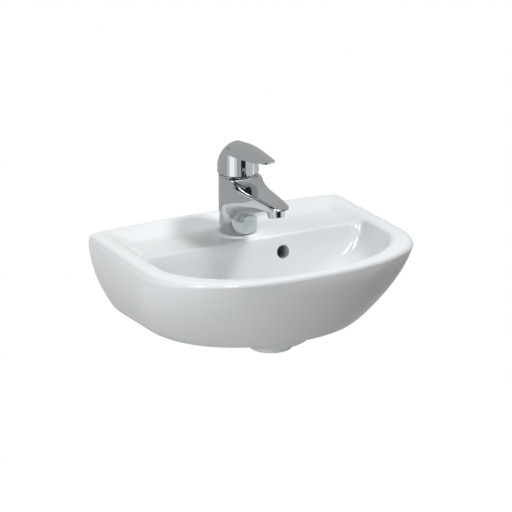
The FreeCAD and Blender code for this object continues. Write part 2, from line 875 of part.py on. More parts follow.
TAP_PIECES = (
    tap_body, tap_base_gasket, cartridge_base, cartridge_seals, fixed_disc, moving_disc, disc_carrier,
    cartridge_rotor, stem_pivot_pin, cartridge_stem, cartridge_housing, cartridge_nut, cartridge_cap,
    lever_handle, lever_grub_screw, screw_plug, aerator_housing, aerator_insert, aerator_washer,
    fixing_stud, fixing_washer, fixing_plate, fixing_nut,
)


def export(name, shape):
    shape.exportStep("parts/" + name + ".step")
    print(name, "solids", len(shape.Solids), "volume", round(shape.Volume), "valid", shape.isValid())


def main():
    export("basin_china", basin_china())
    for piece in TAP_PIECES:
        shape = piece()
        shape.translate(Vector(0, -tap_setback, pad_z))
        export(piece.__name__, shape)


main()
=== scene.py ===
# %% [markdown]
# # A wall-hung hand basin with a lever tap
# The object is a small china basin that hangs on a wall, with a chrome tap on its back deck.
# The exact sizes and the moving parts come from a packed construction model, the frame.
# This lesson gives that frame its looks: a smooth glazed body, finishes, light and a camera.

import json
import math

import bmesh
import bpy
import numpy as np
from mathutils import Matrix, Vector

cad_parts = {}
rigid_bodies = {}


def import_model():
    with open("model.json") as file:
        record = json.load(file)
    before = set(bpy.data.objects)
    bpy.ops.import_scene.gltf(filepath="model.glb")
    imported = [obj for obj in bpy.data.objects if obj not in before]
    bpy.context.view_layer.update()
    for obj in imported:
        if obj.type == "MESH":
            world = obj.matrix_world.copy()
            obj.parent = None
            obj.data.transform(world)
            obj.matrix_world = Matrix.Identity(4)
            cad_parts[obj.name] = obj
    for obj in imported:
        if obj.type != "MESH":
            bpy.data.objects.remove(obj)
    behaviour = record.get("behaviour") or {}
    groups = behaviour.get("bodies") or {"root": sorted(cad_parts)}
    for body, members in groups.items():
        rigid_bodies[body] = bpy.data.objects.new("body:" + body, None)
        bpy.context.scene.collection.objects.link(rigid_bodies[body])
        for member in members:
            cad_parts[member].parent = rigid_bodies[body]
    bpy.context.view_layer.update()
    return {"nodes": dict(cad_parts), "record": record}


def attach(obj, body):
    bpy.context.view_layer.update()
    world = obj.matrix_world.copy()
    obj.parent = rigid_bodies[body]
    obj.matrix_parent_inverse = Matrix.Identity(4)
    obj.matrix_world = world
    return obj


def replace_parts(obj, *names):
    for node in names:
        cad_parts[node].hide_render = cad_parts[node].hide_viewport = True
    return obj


for start_item in list(bpy.data.objects):
    bpy.data.objects.remove(start_item)
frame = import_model()
scene = bpy.context.scene
scene.view_settings.view_transform = "Standard"

# %% [markdown]
# ## The camera
# A product picture is taken from far off with a long lens, so that the sides stay nearly parallel.
# The camera is placed by its direction and distance from a point inside the bowl.
# A small lens shift puts that point where it is in the picture, without turning the camera.

# %% Camera
PICTURE = 512
AIM = Vector((0.0, -0.150, 0.0))
AIM_PIXEL = (267.0, 285.8)
AZIMUTH, ELEVATION = math.radians(-28.0), math.radians(19.6)
DISTANCE, LENS, SENSOR = 3.279, 168.75, 36.0
NEAREST, FARTHEST = 0.05, 50.0


def from_aim(azimuth, elevation, distance):
    """Place seen from the aim point in a direction, with azimuth 0 in front of the wall."""
    flat = math.cos(elevation) * distance
    across, ahead = math.sin(azimuth) * flat, math.cos(azimuth) * flat
    return AIM + Vector((across, -ahead, math.sin(elevation) * distance))


def add_object(name, data):
    made = bpy.data.objects.new(name, data)
    scene.collection.objects.link(made)
    return made


def point_at(item, target):
    item.rotation_euler = (target - item.location).to_track_quat("-Z", "Y").to_euler()


camera = add_object("camera", bpy.data.cameras.new("camera"))
camera.data.lens, camera.data.sensor_width = LENS, SENSOR
camera.data.clip_start, camera.data.clip_end = NEAREST, FARTHEST
camera.data.shift_x = (PICTURE / 2 - AIM_PIXEL[0]) / PICTURE
camera.data.shift_y = (AIM_PIXEL[1] - PICTURE / 2) / PICTURE
camera.location = from_aim(AZIMUTH, ELEVATION, DISTANCE)
point_at(camera, AIM)
scene.camera = camera
print("camera at", [round(c, 3) for c in camera.location])

# %% [markdown]
# ## The china body
# The real basin is cast in one piece, so every edge is soft and the glaze has no flat facets.
# Cutting it from solids leaves sharp edges, and rounding them later with modifiers is fragile.
# Here the body is drawn as closed rings of points that run from the waste hole up the bowl,
# over the rim, down the outside and back to the waste hole, so one smooth skin wraps it all.
# First come the sizes, in metres, and the plan of the basin at one height.

# %% China sizes and plan
MM = 0.001
RIM_Z = 62.5 * MM
HALF_WIDTH, DEPTH, SIDE_STRAIGHT, PLAN_POWER = 200.0 * MM, 298.0 * MM, 169.0 * MM, 2.3
FOLD_HALF, FOLD_DEPTH, FOLD_STRAIGHT, FOLD_POWER = 157.25 * MM, 246.9 * MM, 101.0 * MM, 2.11
WASTE_SETBACK = 161.0 * MM
WALL_CORNER = 6.0 * MM
BACK_STEPS, CORNER_STEPS, SIDE_STEPS, FRONT_STEPS = 40, 10, 56, 64


def half_plan(half_width, straight, depth, power, back):
    """Right half of the plan, from the middle of the wall side to the middle of the front."""
    x = list(np.linspace(0, half_width - WALL_CORNER, BACK_STEPS, endpoint=False))
    y = [-back] * BACK_STEPS
    for turn in np.linspace(math.pi / 2, 0, CORNER_STEPS, endpoint=False):
        x.append(half_width - WALL_CORNER * (1 - math.cos(turn)))
        y.append(-back - WALL_CORNER * (1 - math.sin(turn)))
    x += [half_width] * SIDE_STEPS
    y += list(np.linspace(-back - WALL_CORNER, -straight, SIDE_STEPS, endpoint=False))
    turn = np.linspace(0, math.pi / 2, FRONT_STEPS + 1)
    x += list(half_width * np.cos(turn).clip(0) ** (2 / power))
    y += list(-straight - (depth - straight) * np.sin(turn) ** (2 / power))
    return np.column_stack((x, y))


def whole_plan(half_width, straight, depth, power, back=0.0):
    right = half_plan(half_width, straight, depth, power, back)
    return np.vstack((right, right[-2:0:-1] * (-1, 1)))


rim_plan = whole_plan(HALF_WIDTH, SIDE_STRAIGHT, DEPTH, PLAN_POWER)
print("points in each ring:", len(rim_plan))

# %% [markdown]
# ## Heights of the rim and deck
# Behind the bowl the top drops to a deck for the tap, with a slope up to the wall and a low
# round pad under the tap. Each change of height is an eased step, which rounds the edges.
# The rim itself falls a little towards the outside, as water runs better off a crowned edge.

# %% Height of the top
BACK_CROWN, LEDGE, SLOPE_FOOT, SLOPE_EASE = 3.5 * MM, 5.0 * MM, 45.0 * MM, 0.5
DECK_Z, DECK_HALF, DECK_SIDE = 54.5 * MM, 150.0 * MM, 33.0 * MM
DECK_FRONT, DECK_END = 118.0 * MM, 158.0 * MM
TAP_SETBACK, PAD_RADIUS, PAD_LIP, PAD_RISE = 65.0 * MM, 31.0 * MM, 5.0 * MM, 1.0 * MM
CROWN_FALL, CROWN_START, FRONT_CROWN = 3.5 * MM, 0.90, 0.3


def straight_step(value, low, high):
    return np.clip((value - low) / (high - low), 0, 1)


def eased(value, low, high):
    share = straight_step(value, low, high)
    return share * share * (3 - 2 * share)


def crown_fall(x, y):
    """Gentle fall of the rim from its ridge to the outside edge."""
    ahead = np.clip(-y - SIDE_STRAIGHT, 0, None) / (DEPTH - SIDE_STRAIGHT)
    reach = (np.abs(x / HALF_WIDTH) ** PLAN_POWER + ahead ** PLAN_POWER) ** (1 / PLAN_POWER)
    fall = CROWN_FALL * (1 + (FRONT_CROWN - 1) * eased(ahead, 0, 1))
    return fall * straight_step(reach, CROWN_START, 1) ** 2


def top_height(x, y):
    crown = BACK_CROWN * (1 - (x / HALF_WIDTH) ** 2)
    slope = SLOPE_EASE * eased(-y, LEDGE, SLOPE_FOOT)
    slope = slope + (1 - SLOPE_EASE) * straight_step(-y, LEDGE, SLOPE_FOOT)
    height = RIM_Z + crown + (DECK_Z - RIM_Z - crown) * slope
    from_tap = np.hypot(x, y + TAP_SETBACK)
    height = height + PAD_RISE * (1 - eased(from_tap, PAD_RADIUS, PAD_RADIUS + PAD_LIP))
    beside = eased(np.abs(x), DECK_HALF, DECK_HALF + DECK_SIDE)
    rim = np.maximum(beside, eased(-y, DECK_FRONT, DECK_END))
    return height + (RIM_Z - height) * rim - crown_fall(x, y)


print("deck is", round((RIM_Z - DECK_Z) / MM, 1), "mm below the rim")

# %% [markdown]
# ## The bowl
# The bowl is a stack of rounded outlines that shrink with depth. Its front is a soft oval, and
# its back is fuller, which gives the flat back wall with the crease beside it.
# A table of a few levels is smoothed by a curve through its rows, so no level shows as a line.
# Each row is a level: its depth, width, front reach and back reach as shares of the bowl's sizes,
# and how square its back corners are.

# %% Bowl levels
BOWL_HALF, BOWL_FRONT, BOWL_BACK, BOWL_DROP = 173.0 * MM, 119.0 * MM, 54.0 * MM, 107.0 * MM
BOWL_FRONT_POWER = 2.1
BOWL_LEVELS = np.array((
    (0.00, 1.024, 1.032, 1.10, 12.0), (0.03, 1.000, 1.000, 1.06, 11.5),
    (0.07, 0.984, 0.976, 0.98, 10.5), (0.14, 0.968, 0.952, 0.93, 8.50),
    (0.30, 0.925, 0.900, 0.88, 6.20), (0.40, 0.875, 0.855, 0.85, 5.40),
    (0.50, 0.780, 0.800, 0.82, 5.00), (0.60, 0.665, 0.735, 0.79, 4.60),
    (0.70, 0.550, 0.650, 0.76, 4.25), (0.85, 0.380, 0.500, 0.71, 3.50),
    (0.95, 0.270, 0.370, 0.66, 2.60), (1.00, 0.210, 0.290, 0.60, 2.00),
))
BOWL_STEPS = 6


def smooth_through(rows, steps):
    """Rows in between the given ones, on a curve that passes through each of them."""
    rows = np.asarray(rows, float)
    padded = np.concatenate((2 * rows[:1] - rows[1:2], rows, 2 * rows[-1:] - rows[-2:-1]))
    made = []
    for before, start, end, after in zip(padded, padded[1:], padded[2:], padded[3:]):
        first, second = end - before, 2 * before - 5 * start + 4 * end - after
        third = 3 * start - before - 3 * end + after
        for t in np.linspace(0, 1, steps, endpoint=False):
            made.append(0.5 * (2 * start + first * t + second * t ** 2 + third * t ** 3))
    return np.array(made + [rows[-1]])


bowl_rows = smooth_through(BOWL_LEVELS[::-1], BOWL_STEPS)
print("bowl levels:", len(bowl_rows))

# %% [markdown]
# Every ring needs the same number of points, so that neighbours can be joined face by face.
# Spokes from the waste hole to the rim's plan give each ring one point per spoke.
# Where the bowl's edge meets the top, the lower of the two heights is taken with a soft change.

# %% Bowl rings
EDGE_SOFT = 3.2 * MM
centre = np.array((0.0, -WASTE_SETBACK))
spokes = rim_plan - centre
in_front = spokes[:, 1] < 0


def soft_min(a, b, width):
    """The lower of two heights, with a rounded change from one to the other."""
    share = np.clip(0.5 + (b - a) / (2 * width), 0, 1)
    return b + (a - b) * share - width * share * (1 - share)


def bowl_outline(width, front, back, back_power):
    reach = np.where(in_front, BOWL_FRONT * front, BOWL_BACK * back)
    power = np.where(in_front, BOWL_FRONT_POWER, back_power)
    across = np.abs(spokes[:, 0] / (BOWL_HALF * width)) ** power
    along = across + np.abs(spokes[:, 1] / reach) ** power
    return centre + spokes * (along ** (-1 / power))[:, None]


def ring(plan, height):
    return np.column_stack((plan, np.broadcast_to(height, len(plan))))


bowl_rings = []
for share, *reaches in bowl_rows:
    plan = bowl_outline(*reaches)
    level = RIM_Z - BOWL_DROP * share
    bowl_rings.append(ring(plan, soft_min(level, top_height(*plan.T), EDGE_SOFT)))
print("bowl rings:", len(bowl_rings))

# %% [markdown]
# ## Rim and deck
# From the bowl's edge the rings spread out over the rim and deck to the outside edge, which is a
# quarter round. Its radius is smaller at the front, and smallest where the basin meets the wall.

# %% Rim rings
RIM_ROUND, FRONT_ROUND, BACK_ROUND = 8.0 * MM, 4.5 * MM, 2.0 * MM
ROUND_STEPS, RIM_STEPS, EDGE_CLIMB = 9, 44, 0.9
quarter_turns = np.linspace(0, math.pi / 2, ROUND_STEPS)
edge = bowl_outline(*BOWL_LEVELS[0][1:])
from_wall = -rim_plan[:, 1]
edge_round = BACK_ROUND + (RIM_ROUND - BACK_ROUND) * eased(from_wall, 0, WALL_CORNER)
edge_round += (FRONT_ROUND - RIM_ROUND) * eased(from_wall, SIDE_STRAIGHT, DEPTH)


def edge_ring(turn):
    """Quarter round of the outside edge; turn 0 is the flat top."""
    inset = 1 - math.sin(turn)
    plan = whole_plan(HALF_WIDTH - RIM_ROUND * inset, SIDE_STRAIGHT, DEPTH - FRONT_ROUND * inset,
                      PLAN_POWER, BACK_ROUND * inset)
    return ring(plan, top_height(*plan.T) - edge_round * (1 - math.cos(turn)))


rim_rings = []
outer = edge_ring(0.0)[:, :2]
for share in np.linspace(0, 1, RIM_STEPS + 1)[1:]:
    plan = edge + (outer - edge) * share
    climb = RIM_Z + EDGE_CLIMB * np.linalg.norm(plan - edge, axis=1)
    rim_rings.append(ring(plan, soft_min(climb, top_height(*plan.T), EDGE_SOFT)))
rim_rings += [edge_ring(turn) for turn in quarter_turns[1:]]
print("rim rings:", len(rim_rings))

# %% [markdown]
# ## Outside walls
# Below the rim's round the walls curve in towards a fold, and the bottom goes on from there as a
# shallow dish. A few rows from the construction are smoothed as the bowl's levels were.
# The low rows rise towards the front, which gives the basin its lifted chin.

# %% Outside rings
FOLD_DROP, DISH_DROP, FRONT_LIFT = 121.7 * MM, 133.7 * MM, 14.3 * MM
SIDE_CURVE, FRONT_CURVE = 1.93, 1.61
WALL_SHARES = (0.07, 0.16, 0.28, 0.42, 0.56, 0.70, 0.82, 0.92)
DISH_SHARES = ((0.04, 0.10), (0.11, 0.26), (0.22, 0.42))
DISH_RADIUS, WALL_STEPS = 46.0 * MM, 5


def wall_z(share):
    """Height on the wall, from the foot of the rim's round down to the fold."""
    return RIM_Z - RIM_ROUND - (FOLD_DROP - RIM_ROUND) * share


def lifted(row):
    """Raise a low row towards the front of the basin."""
    lift = FRONT_LIFT * (RIM_Z - row[:, 2]) / FOLD_DROP
    return np.column_stack((row[:, :2], row[:, 2] - lift * row[:, 1] / DEPTH))


wall_rows = [rim_rings[-1]]
for share in WALL_SHARES:
    plan = whole_plan(HALF_WIDTH - (HALF_WIDTH - FOLD_HALF) * share ** SIDE_CURVE,
                      SIDE_STRAIGHT - (SIDE_STRAIGHT - FOLD_STRAIGHT) * share,
                      DEPTH - (DEPTH - FOLD_DEPTH) * share ** FRONT_CURVE,
                      PLAN_POWER + (FOLD_POWER - PLAN_POWER) * share)
    wall_rows.append(lifted(ring(plan, wall_z(share))))
for run, dip in DISH_SHARES:
    plan = whole_plan(FOLD_HALF + (DISH_RADIUS - FOLD_HALF) * run,
                      FOLD_STRAIGHT + (WASTE_SETBACK - FOLD_STRAIGHT) * run,
                      FOLD_DEPTH + (WASTE_SETBACK + DISH_RADIUS - FOLD_DEPTH) * run, FOLD_POWER)
    wall_rows.append(lifted(ring(plan, RIM_Z - FOLD_DROP - (DISH_DROP - FOLD_DROP) * dip)))
wall_rings = list(smooth_through(wall_rows, WALL_STEPS))[1:]
print("wall rings:", len(wall_rings))

# %% [markdown]
# ## Bottom and waste hole
# The dish closes in to a round boss, which the waste pipe passes through. A fillet leads into the
# boss, its rim is rounded on both sides, and the hole opens into a shallow seat in the bowl.

# %% Bottom rings
DISH_EDGE, DISH_STEPS = 72.0 * MM, 8
directions = spokes / np.linalg.norm(spokes, axis=1)[:, None]


def circle(radius, height):
    return ring(centre + directions * radius, height)


dish_z = RIM_Z - DISH_DROP
last = wall_rings[-1]
last_span = (last[:, 1].min(), last[:, 1].max())
dish_edge = circle(DISH_EDGE, 0.0)
dish_edge[:, 2] = np.interp(dish_edge[:, 1], last_span, (last[:, 2].max(), last[:, 2].min()))
dish_in = circle(DISH_RADIUS, dish_z)
dish_shares = np.linspace(0, 1, DISH_STEPS)[1:]
bottom_rings = [last + (dish_edge - last) * share for share in dish_shares]
for share in dish_shares:
    row = dish_edge + (dish_in - dish_edge) * share
    row[:, 2] = dish_edge[:, 2] + (dish_z - dish_edge[:, 2]) * eased(share, 0.0, 1.0)
    bottom_rings.append(row)
print("bottom rings:", len(bottom_rings))

# %% [markdown]
# Three quarter rounds make the boss: the fillet that leads into it, its outer edge and the edge of
# the hole. The bore and the seat follow, and the ring after the last one is the bowl's first.

# %% Boss and waste hole
BOSS_RADIUS, BOSS_Z, BOSS_FILLET, BOSS_ROUND = 30.0 * MM, -84.0 * MM, 5.0 * MM, 1.5 * MM
WASTE_RADIUS, SEAT_RADIUS, SEAT_DROP, BORE_STEPS = 23.0 * MM, 31.0 * MM, 5.0 * MM, 6
floor_z = RIM_Z - BOWL_DROP
boss_rings = []
for turn in quarter_turns:
    boss_rings.append(circle(BOSS_RADIUS + BOSS_FILLET * (1 - math.sin(turn)),
                             dish_z - BOSS_FILLET * (1 - math.cos(turn))))
for turn in quarter_turns:
    boss_rings.append(circle(BOSS_RADIUS - BOSS_ROUND * (1 - math.cos(turn)),
                             BOSS_Z + BOSS_ROUND * (1 - math.sin(turn))))
for turn in quarter_turns:
    boss_rings.append(circle(WASTE_RADIUS + BOSS_ROUND * (1 - math.sin(turn)),
                             BOSS_Z + BOSS_ROUND * (1 - math.cos(turn))))
bore_low, bore_top = BOSS_Z + BOSS_ROUND, floor_z - SEAT_DROP
for share in np.linspace(0, 1, BORE_STEPS)[1:]:
    boss_rings.append(circle(WASTE_RADIUS, bore_low + share * (bore_top - bore_low)))
boss_rings.append(circle(SEAT_RADIUS - BOSS_ROUND, floor_z - BOSS_ROUND))
boss_rings.append(circle(SEAT_RADIUS, floor_z - BOSS_ROUND / 2))
print("boss rings:", len(boss_rings))

# %% [markdown]
# ## The skin
# Four neighbouring points, two on one ring and two on the next, make one face. The last ring is
# joined to the first, so the mesh has no open edge and a cut through it stays clean.

# %% Skin over the rings
def skin(name, rings):
    """Closed mesh from closed rings, with the last ring joined to the first."""
    count, around = rings.shape[:2]
    index = np.arange(count * around).reshape(count, around)
    aside = np.roll(index, -1, 1)
    corners = np.stack((index, aside, np.roll(aside, -1, 0), np.roll(index, -1, 0)), -1)
    mesh = bpy.data.meshes.new(name)
    mesh.from_pydata(rings.reshape(-1, 3).tolist(), [], corners.reshape(-1, 4).tolist())
    made = bmesh.new()
    made.from_mesh(mesh)
    bmesh.ops.recalc_face_normals(made, faces=made.faces)
    made.to_mesh(mesh)
    made.free()
    return add_object(name, mesh)


china_rings = np.array(bowl_rings + rim_rings + wall_rings + bottom_rings + boss_rings)
china = skin("china_body", china_rings)
print("china rings:", len(china_rings), "faces:", len(china.data.polygons))

# %% [markdown]
# ## Openings in the china
# Some openings can't be part of the rings: the overflow, the tap hole, the wall fixings and the
# open space at the back. They are cut from the finished skin with plain closed cutters, which
# are removed after the cut. Every cutter is a stack of outlines. A turned one is a stack of circles.

# %% Cutter tools
TURNS = 64


def stack(name, levels):
    """Closed solid from outlines of equal length, each a list of points in space."""
    made = bmesh.new()
    loops = [[made.verts.new(p) for p in level] for level in levels]
    for low, high in zip(loops, loops[1:]):
        for k in range(len(low)):
            made.faces.new((low[k], low[k - 1], high[k - 1], high[k]))
    made.faces.new(loops[0])
    made.faces.new(list(reversed(loops[-1])))
    bmesh.ops.recalc_face_normals(made, faces=made.faces)
    mesh = bpy.data.meshes.new(name)
    made.to_mesh(mesh)
    made.free()
    return add_object(name, mesh)


def turned(name, profile, place, axis):
    """Closed solid from (radius, distance) points spun about an axis."""
    spin = Vector((0, 0, 1)).rotation_difference(Vector(axis)).to_matrix().to_4x4()
    put = Matrix.Translation(Vector(place)) @ spin
    turns = [2 * math.pi * k / TURNS for k in range(TURNS)]
    levels = [[put @ Vector((radius * math.cos(t), radius * math.sin(t), along)) for t in turns]
              for radius, along in profile]
    return stack(name, levels)


def rod(name, radius, place, end):
    place, end = Vector(place), Vector(end)
    return turned(name, ((radius, 0.0), (radius, (end - place).length)), place, end - place)


def rounded(corners, radius, steps=6):
    """Plan with each corner of a polygon replaced by an arc."""
    made = []
    for k, corner in enumerate(corners):
        here = np.array(corner)
        back, on = np.array(corners[k - 1]) - here, np.array(corners[(k + 1) % len(corners)]) - here
        back, on = back / np.linalg.norm(back), on / np.linalg.norm(on)
        for share in np.linspace(0, 1, steps + 1):
            made.append(here + radius * (back * (1 - share) ** 2 + on * share ** 2))
    return np.array(made)


print("points round a turned cutter:", TURNS)

# %% [markdown]
# The space behind the bowl is open at the bottom, for the pipes, and leaves a back plate against
# the wall. A rib in it carries the overflow's duct. Its ceiling is rounded, as in a casting.

# %% Space behind the bowl
DUCT_Y, DUCT_RADIUS, DUCT_WALL, OVERFLOW_X = -84.0 * MM, 7.0 * MM, 6.0 * MM, 45.0 * MM
PLATE, SHELL_WALL, SPACE_FRONT, SPACE_FRONT_LOW = 12.0 * MM, 10.0 * MM, 98.0 * MM, 118.0 * MM
DECK_UNDER_Z, SPACE_ROUND = 40.5 * MM, 7.0 * MM
TOP_SHARE = (RIM_Z - RIM_ROUND - DECK_UNDER_Z) / (FOLD_DROP - RIM_ROUND)


def space_level(share, inset):
    """Plan of the open space behind the bowl, with a notch for the overflow's rib."""
    run = max(0.0, (share - TOP_SHARE) / (1 - TOP_SHARE))
    half = HALF_WIDTH - (HALF_WIDTH - FOLD_HALF) * share ** SIDE_CURVE - SHELL_WALL - inset
    back, front = -PLATE - inset, -SPACE_FRONT - (SPACE_FRONT_LOW - SPACE_FRONT) * run + inset
    rib = DUCT_RADIUS + DUCT_WALL + inset
    left, right, notch = OVERFLOW_X - rib, OVERFLOW_X + rib, DUCT_Y + rib
    corners = [(-half, back), (half, back), (half, front), (right, front),
               (right, notch), (left, notch), (left, front), (-half, front)]
    return rounded(corners, SPACE_ROUND)


space = []
for turn in quarter_turns:
    plan = space_level(TOP_SHARE, SPACE_ROUND * (1 - math.sin(turn)))
    space.append(ring(plan, DECK_UNDER_Z - SPACE_ROUND * (1 - math.cos(turn))))
for share in np.linspace(TOP_SHARE, 1.0, WALL_STEPS)[1:]:
    space.append(ring(space_level(share, 0.0), wall_z(share)))
space.append(space[-1] - (0, 0, FOLD_DROP))
cutters = [stack("space_cutter", [level.tolist() for level in space])]
print("levels of the space:", len(space))

# %% [markdown]
# The overflow is a bore with a small flare at its mouth. It runs back and slightly down into the
# duct, and a drain leads from the duct's foot to the waste hole. The other holes are plain rods.

# %% Overflow and holes
OVER = 4.0 * MM
GAP_HALF, GAP_Z, GAP_ROUND = 75.0 * MM, -13.5 * MM, 22.0 * MM
OVERFLOW_Z, OVERFLOW_RADIUS, OVERFLOW_FLARE = 30.9 * MM, 9.2 * MM, 1.6 * MM
MOUTH_Y, BORE_SLOPE, DUCT_FOOT_Z = -113.6 * MM, -0.155, -53.5 * MM
DRAIN_RADIUS, TAP_HOLE, FIXING_RADIUS, FIXING_X = 5.0 * MM, 17.5 * MM, 7.0 * MM, 140.0 * MM
gap_low = BOSS_Z - OVER
gap_corners = [(-GAP_HALF, gap_low), (GAP_HALF, gap_low), (GAP_HALF, GAP_Z), (-GAP_HALF, GAP_Z)]
gap = rounded(gap_corners, GAP_ROUND)
overflow_mouth = Vector((OVERFLOW_X, MOUTH_Y, OVERFLOW_Z))
overflow_axis = Vector((0.0, 1.0, BORE_SLOPE)).normalized()
mouth_radius = OVERFLOW_RADIUS + OVERFLOW_FLARE + OVER
flare = [(mouth_radius, 0.0), (mouth_radius, OVER)]
for turn in quarter_turns:
    flare.append((OVERFLOW_RADIUS + OVERFLOW_FLARE * (1 - math.sin(turn)),
                  OVER + OVERFLOW_FLARE * (1 - math.cos(turn))))
flare.append((OVERFLOW_RADIUS, DUCT_Y - MOUTH_Y + OVER))
duct_foot, duct_top = (OVERFLOW_X, DUCT_Y, DUCT_FOOT_Z), (OVERFLOW_X, DUCT_Y, OVERFLOW_Z)
tap_low, tap_top = (0, -TAP_SETBACK, DECK_UNDER_Z - OVER), (0, -TAP_SETBACK, RIM_Z)
cutters += [
    stack("gap_cutter", [[(x, y, z) for x, z in gap] for y in (OVER, -PLATE - OVER)]),
    turned("overflow_cutter", flare, overflow_mouth - overflow_axis * OVER, overflow_axis),
    rod("duct_cutter", DUCT_RADIUS, duct_foot, duct_top),
    rod("drain_cutter", DRAIN_RADIUS, duct_foot, (0, -WASTE_SETBACK, DUCT_FOOT_Z)),
    rod("tap_hole_cutter", TAP_HOLE, tap_low, tap_top),
]
for x in (-FIXING_X, FIXING_X):
    cutters.append(rod("fixing_cutter", FIXING_RADIUS, (x, OVER, 0), (x, -PLATE - OVER, 0)))
print("cutters:", [cutter.name for cutter in cutters])

# %% [markdown]
# The exact boolean keeps the cut edges clean. The result is copied into the mesh, so no modifier
# is left on it. Shading is smooth except where two faces meet at a steep angle, as at a cut edge.
# The finished body then stands for the plain china solid of the frame.

# %% Cut the openings
SHARP_ANGLE = math.radians(40)


def cut(target, tools):
    for tool in tools:
        step = target.modifiers.new(tool.name, "BOOLEAN")
        step.operation, step.solver, step.object = "DIFFERENCE", "EXACT", tool
    bpy.context.view_layer.update()
    shape = target.evaluated_get(bpy.context.evaluated_depsgraph_get())
    mesh = bpy.data.meshes.new_from_object(shape)
    target.modifiers.clear()
    target.data = mesh
    for tool in tools:
        bpy.data.objects.remove(tool)


cut(china, cutters)
china.data.shade_smooth()
china.data.set_sharp_from_angle(angle=SHARP_ANGLE)
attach(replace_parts(china, "basin_china"), "base")
print("china after cutting:", len(china.data.polygons), "faces")

# %% [markdown]
# ## Shared effects
# No real finish is one flat colour. Glaze drifts a little in tone, chrome carries faint smudges and
# moulded plastic has a fine grain. Each of these is a node group that is built once, with named
# inputs, and placed in every material that needs it with its own values.

# %% Group tools
NUMBER, COLOUR = "NodeSocketFloat", "NodeSocketColor"


def new_group(name, inputs, outputs):
    group = bpy.data.node_groups.new(name, "ShaderNodeTree")
    for label, kind, value in inputs:
        group.interface.new_socket(label, in_out="INPUT", socket_type=kind).default_value = value
    for label, kind in outputs:
        group.interface.new_socket(label, in_out="OUTPUT", socket_type=kind)
    return group, group.nodes.new("NodeGroupInput"), group.nodes.new("NodeGroupOutput")


def noise_node(group, start, detail):
    place = group.nodes.new("ShaderNodeTexCoord")
    noise = group.nodes.new("ShaderNodeTexNoise")
    noise.inputs["Detail"].default_value = detail
    group.links.new(place.outputs["Object"], noise.inputs["Vector"])
    group.links.new(start.outputs["Scale"], noise.inputs["Scale"])
    return noise


print("kinds of socket:", NUMBER, COLOUR)

# %% [markdown]
# The first group blends two tones by a noise, the second does the same with two values of roughness
# and the third passes the noise on as a height for a bump.

# %% Node groups
TONE_DETAIL, SMUDGE_DETAIL, GRAIN_DETAIL = 3.0, 5.0, 2.0
SMUDGE_FROM, SMUDGE_TO = 0.35, 0.75
tone_drift, start, end = new_group(
    "tone_drift",
    [("Scale", NUMBER, 10.0), ("Light", COLOUR, (1, 1, 1, 1)), ("Dark", COLOUR, (0, 0, 0, 1))],
    [("Colour", COLOUR)])
noise = noise_node(tone_drift, start, TONE_DETAIL)
mix = tone_drift.nodes.new("ShaderNodeMix")
mix.data_type = "RGBA"
tone_drift.links.new(noise.outputs["Fac"], mix.inputs["Factor"])
tone_drift.links.new(start.outputs["Light"], mix.inputs["A"])
tone_drift.links.new(start.outputs["Dark"], mix.inputs["B"])
tone_drift.links.new(mix.outputs["Result"], end.inputs["Colour"])

smudge, start, end = new_group(
    "smudge", [("Scale", NUMBER, 20.0), ("Low", NUMBER, 0.05), ("High", NUMBER, 0.12)],
    [("Roughness", NUMBER)])
noise = noise_node(smudge, start, SMUDGE_DETAIL)
spread = smudge.nodes.new("ShaderNodeMapRange")
spread.inputs["From Min"].default_value = SMUDGE_FROM
spread.inputs["From Max"].default_value = SMUDGE_TO
smudge.links.new(noise.outputs["Fac"], spread.inputs["Value"])
smudge.links.new(start.outputs["Low"], spread.inputs["To Min"])
smudge.links.new(start.outputs["High"], spread.inputs["To Max"])
smudge.links.new(spread.outputs["Result"], end.inputs["Roughness"])

grain, start, end = new_group("grain", [("Scale", NUMBER, 400.0)], [("Height", NUMBER)])
noise = noise_node(grain, start, GRAIN_DETAIL)
grain.links.new(noise.outputs["Fac"], end.inputs["Height"])
print("node groups:", [group.name for group in (tone_drift, smudge, grain)])

# %% [markdown]
# ## Finishes
# One function makes every finish from the same parts: a tone that drifts, a roughness with smudges
# and a fine bump. What differs is only the numbers, so they are kept together in one table.
# Glaze is a smooth white with a clear shine, chrome is a grey mirror and rubber is dull and black.

# %% Finish tool
GLASSY_IOR = 1.5


def place_group(tree, group, **values):
    node = tree.nodes.new("ShaderNodeGroup")
    node.node_tree = group
    for label, value in values.items():
        node.inputs[label].default_value = value
    return node


def finish(name, light, dark, rough, scales, bump, metallic=0.0):
    """Material whose scales are those of its tone, its smudges and its grain."""
    tone_scale, smudge_scale, grain_scale = scales
    material = bpy.data.materials.new(name)
    material.use_nodes = True
    tree = material.node_tree
    shader = tree.nodes["Principled BSDF"]
    shader.inputs["Metallic"].default_value = metallic
    shader.inputs["IOR"].default_value = GLASSY_IOR
    tone = place_group(tree, tone_drift, Scale=tone_scale, Light=(*light, 1), Dark=(*dark, 1))
    tree.links.new(tone.outputs["Colour"], shader.inputs["Base Color"])
    matt = place_group(tree, smudge, Scale=smudge_scale, Low=rough[0], High=rough[1])
    tree.links.new(matt.outputs["Roughness"], shader.inputs["Roughness"])
    height = place_group(tree, grain, Scale=grain_scale)
    raised = tree.nodes.new("ShaderNodeBump")
    raised.inputs["Strength"].default_value, raised.inputs["Distance"].default_value = bump
    tree.links.new(height.outputs["Height"], raised.inputs["Height"])
    tree.links.new(raised.outputs["Normal"], shader.inputs["Normal"])
    return material


def dress(item, material):
    item.data.materials.clear()
    item.data.materials.append(material)


print("index of refraction of the finishes:", GLASSY_IOR)

# %% [markdown]
# The table has one finish for each material slot of the frame, and every piece is dressed in the
# finish of its slot.

